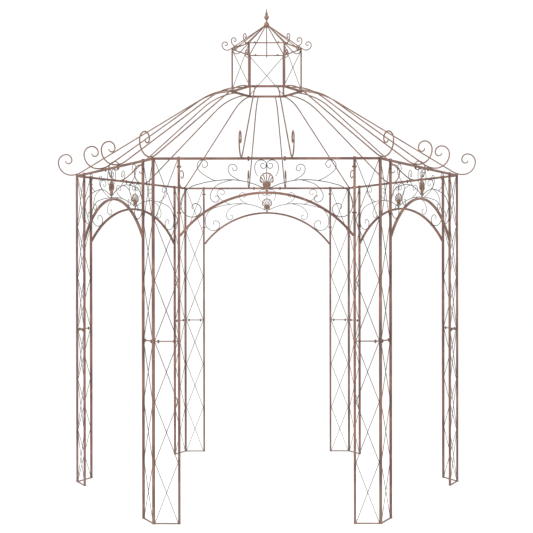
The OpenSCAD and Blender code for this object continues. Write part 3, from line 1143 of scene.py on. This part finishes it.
def roof():
    corners, sides = rafter_lines()
    corner_rods = bars(corners, RAFTER_ROD, LIT_ROOF_PAINT, rounded=True, facets=14)
    side_rods = bars(sides, RAFTER_ROD, LIT_ROOF_PAINT, rounded=True, facets=14)
    piece("corner_rafter_rods", [corner_rods], LIT_ROOF_PAINT, ["corner_rafters"])
    piece("side_rafter_rods", [side_rods], LIT_ROOF_PAINT, ["side_rafters"])
    ring = bars(hexagon_bars(RING_APOTHEM, RING_Z, TUBE_W), TUBE_W, COPPER_PAINT, edge_r=TUBE_EDGE_R)
    piece("roof_ring_bars", [ring], COPPER_PAINT, ["roof_ring"])
    for k in range(SIDES):
        facing = outward(side_turn(k))
        for u in (-RING_BOLT_U, RING_BOLT_U):
            BOLT_HEADS.append((on_side(k, u, RING_Z, TUBE_W / 2, RING_APOTHEM), facing))
            BOLT_NUTS.append((on_side(k, u, RING_Z, -TUBE_W / 2, RING_APOTHEM), -facing))


# ---- Lantern ----

CROSSED_SIDES = (1, 3, 5)
CROSS_INSET = 0.005
EAVES_BOLT_U = 0.090


def lantern_frames():
    posts_lines, cross_lines = [], []
    for k in range(SIDES):
        foot = outward(corner_turn(k)) * RING_R
        line = straight(foot + UP * LANTERN_POST_FOOT, foot + UP * EAVES_BAR_LOW, outward(corner_turn(k)))
        posts_lines.append(line)
    low = LANTERN_POST_FOOT + CROSS_INSET
    high = EAVES_BAR_LOW - CROSS_INSET
    for k in CROSSED_SIDES:
        normal = outward(side_turn(k))
        for way in (-1, 1):
            a = on_side(k, -way * RING_R / 2, low, way * ROD_LAP, RING_APOTHEM)
            b = on_side(k, way * RING_R / 2, high, way * ROD_LAP, RING_APOTHEM)
            cross_lines.append(straight(a, b, normal))
        WELDS.append(on_side(k, 0.0, (low + high) / 2, 0.0, RING_APOTHEM))
    standing = bars(posts_lines, LANTERN_POST_W, COPPER_PAINT, edge_r=LANTERN_EDGE_R)
    piece("lantern_posts", [standing], COPPER_PAINT, ["lantern_frames"])
    crossed = bars(cross_lines, LATTICE_ROD, DARK_IRON, rounded=True, facets=10)
    piece("lantern_crosses", [crossed], DARK_IRON)


def lantern_eaves():
    z = (EAVES_BAR_LOW + EAVES_BAR_TOP) / 2
    ring = bars(hexagon_bars(RING_APOTHEM, z, EAVES_BAR_W), EAVES_BAR_W, LIT_ROOF_PAINT)
    piece("lantern_eaves_bars", [ring], LIT_ROOF_PAINT, ["lantern_eaves"])
    for k in range(SIDES):
        for u in (-EAVES_BOLT_U, EAVES_BOLT_U):
            BOLT_HEADS.append((on_side(k, u, EAVES_BAR_TOP, 0.0, RING_APOTHEM), UP))


def lantern_rafters():
    lines = []
    for i in range(2 * SIDES):
        turn = i * SIDE_TURN / 2
        heading = outward(turn)
        bar_r = RING_R if i % 2 == 0 else RING_APOTHEM
        flat = lantern_rafter_line(bar_r)
        line = [on_upright(UP * LANTERN_HEAD_Z, heading, r, z) for r, z in flat]
        lines.append((line, along(turn), end_taper(line)))
        WELDS.append(heading * bar_r + UP * EAVES_BAR_TOP)
    rods = bars(lines, LANTERN_ROD, LIT_ROOF_PAINT, rounded=True, facets=12)
    piece("lantern_rafter_rods", [rods], LIT_ROOF_PAINT, ["lantern_rafters"])


# ---- Finial ----

FINIAL_POINTS = 40
HUB_CHAMFER = 0.002
BELL_LIFT = 0.004
BULB_R = 0.019
BULB_LIFT = 0.022
BULB_SEAT_R = 0.009
NECK_R = 0.006
NECK_LIP = 0.003
COLLAR_LIFT = 0.010
# Outline of the collar and the spike's foot, as radius and height over the collar's widest place
COLLAR = ((0.007, -0.006), (0.0115, -0.004), (0.012, 0.0), (0.0115, 0.003), (0.0062, 0.004), (0.0048, 0.016))
SPIKE_TIP_R = 0.001
SPIKE_TOP = CAD_HIGH[2] - PAINT_GAP


def ball_profile(centre, r, low_share, high_share, steps):
    """Profile points of a turned ball between two heights, given as shares of its radius."""
    first = math.asin(low_share)
    last = math.asin(high_share)
    angles = [first + (last - first) * i / steps for i in range(steps + 1)]
    return [(r * math.cos(a), centre + r * math.sin(a)) for a in angles]


def finial_profile():
    """Turned outline from the hub up: hub, bell, neck, bulb, collar and spike."""
    bell_r = HUB_R - HUB_CHAMFER
    bell_z = HUB_HIGH + BELL_LIFT
    bulb_z = HUB_HIGH + bell_r + BULB_R + BULB_LIFT
    collar_z = bulb_z + BULB_R + COLLAR_LIFT
    profile = [(bell_r, HUB_LOW), (HUB_R, HUB_LOW + HUB_CHAMFER)]
    profile += [(HUB_R, HUB_HIGH - HUB_CHAMFER), (bell_r, HUB_HIGH)]
    profile += ball_profile(bell_z, bell_r, 0.05, 0.94, 8)
    profile += [(NECK_R, bell_z + bell_r + NECK_LIP), (NECK_R, bulb_z - BULB_R - NECK_LIP)]
    profile.append((BULB_SEAT_R, bulb_z - BULB_R))
    profile += ball_profile(bulb_z, BULB_R, -0.86, 0.90, 12)
    profile += [(r, collar_z + z) for r, z in COLLAR]
    profile.append((SPIKE_TIP_R, SPIKE_TOP))
    return profile


def finial():
    bm = bmesh.new()
    relief = bm.verts.layers.float.new("relief")
    rings = []
    for r, z in finial_profile():
        ring = []
        for j in range(FINIAL_POINTS):
            angle = math.tau * j / FINIAL_POINTS
            vertex = bm.verts.new((r * math.cos(angle), r * math.sin(angle), z))
            vertex[relief] = min(1.0, r / HUB_R)
            ring.append(vertex)
        rings.append(ring)
    bridge(bm, rings)
    mesh = bpy.data.meshes.new("finial_cast")
    bm.to_mesh(mesh)
    bm.free()
    piece("finial_casting", [mesh], CAST_COPPER, ["finial"])


# ---- Bolts and welds ----

WASHER_R = 0.0076
WASHER_T = 0.0011
HEAD_R = 0.0064
HEAD_T = 0.0042
CROWN_R = 0.0048
CROWN_T = 0.0009
NUT_R = 0.0062
NUT_T = 0.0048
BOLT_END_R = 0.0034
BOLT_END_T = 0.0034
WELD_BEAD_R = 0.0036
WELD_SEED = 7


def fastened(spots, head_r, head_t, crown_r, crown_t):
    """Bolt heads or nuts on spots of (place, axis)."""
    mesh = point_mesh([place for place, _ in spots])
    flat = [value for _, axis in spots for value in axis]
    mesh.attributes.new("axis", "FLOAT_VECTOR", "POINT").data.foreach_set("vector", flat)
    values = {
        "Washer Radius": WASHER_R,
        "Washer Depth": WASHER_T,
        "Head Radius": head_r,
        "Head Depth": head_t,
        "Crown Radius": crown_r,
        "Crown Depth": crown_t,
        "Material": BOLT_STEEL,
    }
    return run_tree(FASTENERS, mesh, values)


def fixings():
    heads = fastened(BOLT_HEADS, HEAD_R, HEAD_T, CROWN_R, CROWN_T)
    nuts = fastened(BOLT_NUTS, NUT_R, NUT_T, BOLT_END_R, BOLT_END_T)
    piece("bolts_and_nuts", [heads, nuts], BOLT_STEEL)
    values = {"Bead Radius": WELD_BEAD_R, "Seed": WELD_SEED, "Material": DARK_IRON}
    beads = run_tree(WELD_BEADS, point_mesh(WELDS), values)
    piece("weld_beads", [beads], DARK_IRON)


# ---- Studio ----

FLOOR_HALF = 40.0
CAMERA_PLACE = Vector((0.007, -7.947, 1.712))
CAMERA_PITCH = math.radians(-0.0915)
CAMERA_YAW = math.radians(0.077)
CAMERA_ROLL = math.radians(0.089)
CAMERA_LENS = 68.0
CAMERA_SENSOR = 36.0
VIEW_REACH = 200.0
SKY_STRENGTH = 1.08
FLOOR_TONES = ((0.93, 0.93, 0.93), (0.95, 0.95, 0.95))


def floor_material():
    material = bpy.data.materials.new("pale_floor")
    material.use_nodes = True
    tree = material.node_tree
    shader = tree.nodes["Principled BSDF"]
    place = add_node(tree, "ShaderNodeTexCoord")
    cloudy = noise(tree, place.outputs["Object"], 0.6, 2.0)
    tree.links.new(mixed(tree, cloudy, *FLOOR_TONES), shader.inputs["Base Color"])
    shader.inputs["Roughness"].default_value = 0.9
    return material


def studio_floor():
    mesh = bpy.data.meshes.new("studio_floor")
    s = FLOOR_HALF
    mesh.from_pydata([(-s, -s, 0), (s, -s, 0), (s, s, 0), (-s, s, 0)], [], [(0, 1, 2, 3)])
    mesh.materials.append(floor_material())
    ground = bpy.data.objects.new("studio_floor", mesh)
    bpy.context.scene.collection.objects.link(ground)


def soft_light(name, place, target, size, power):
    lamp = bpy.data.lights.new(name, "AREA")
    lamp.shape = "SQUARE"
    lamp.size = size
    lamp.energy = power
    holder = bpy.data.objects.new(name, lamp)
    holder.location = place
    holder.rotation_euler = (Vector(target) - Vector(place)).to_track_quat("-Z", "Y").to_euler()
    bpy.context.scene.collection.objects.link(holder)


def studio():
    studio_floor()
    world = bpy.data.worlds.new("white_studio")
    world.use_nodes = True
    sky = world.node_tree.nodes["Background"]
    sky.inputs["Color"].default_value = (1.0, 1.0, 1.0, 1.0)
    sky.inputs["Strength"].default_value = SKY_STRENGTH
    bpy.context.scene.world = world
    aim = (0.0, 0.0, 1.8)
    soft_light("key_light", (-4.5, -6.0, 6.5), aim, 3.5, 420.0)
    soft_light("fill_light", (5.5, -4.0, 3.5), aim, 3.0, 130.0)
    bpy.context.scene.view_settings.view_transform = "Standard"


def camera():
    lens = bpy.data.cameras.new("studio_camera")
    lens.lens = CAMERA_LENS
    lens.sensor_width = CAMERA_SENSOR
    lens.clip_end = VIEW_REACH
    eye = bpy.data.objects.new("studio_camera", lens)
    eye.location = CAMERA_PLACE
    eye.rotation_euler = (math.pi / 2 + CAMERA_PITCH, CAMERA_ROLL, CAMERA_YAW)
    bpy.context.scene.collection.objects.link(eye)
    bpy.context.scene.camera = eye


# ---- Build ----

camera()
studio()
posts()
for k in range(SIDES):
    top_rail(k)
    arch(k)
    scrollwork(k)
shells()
roof()
lantern_frames()
lantern_eaves()
lantern_rafters()
finial()
fixings()
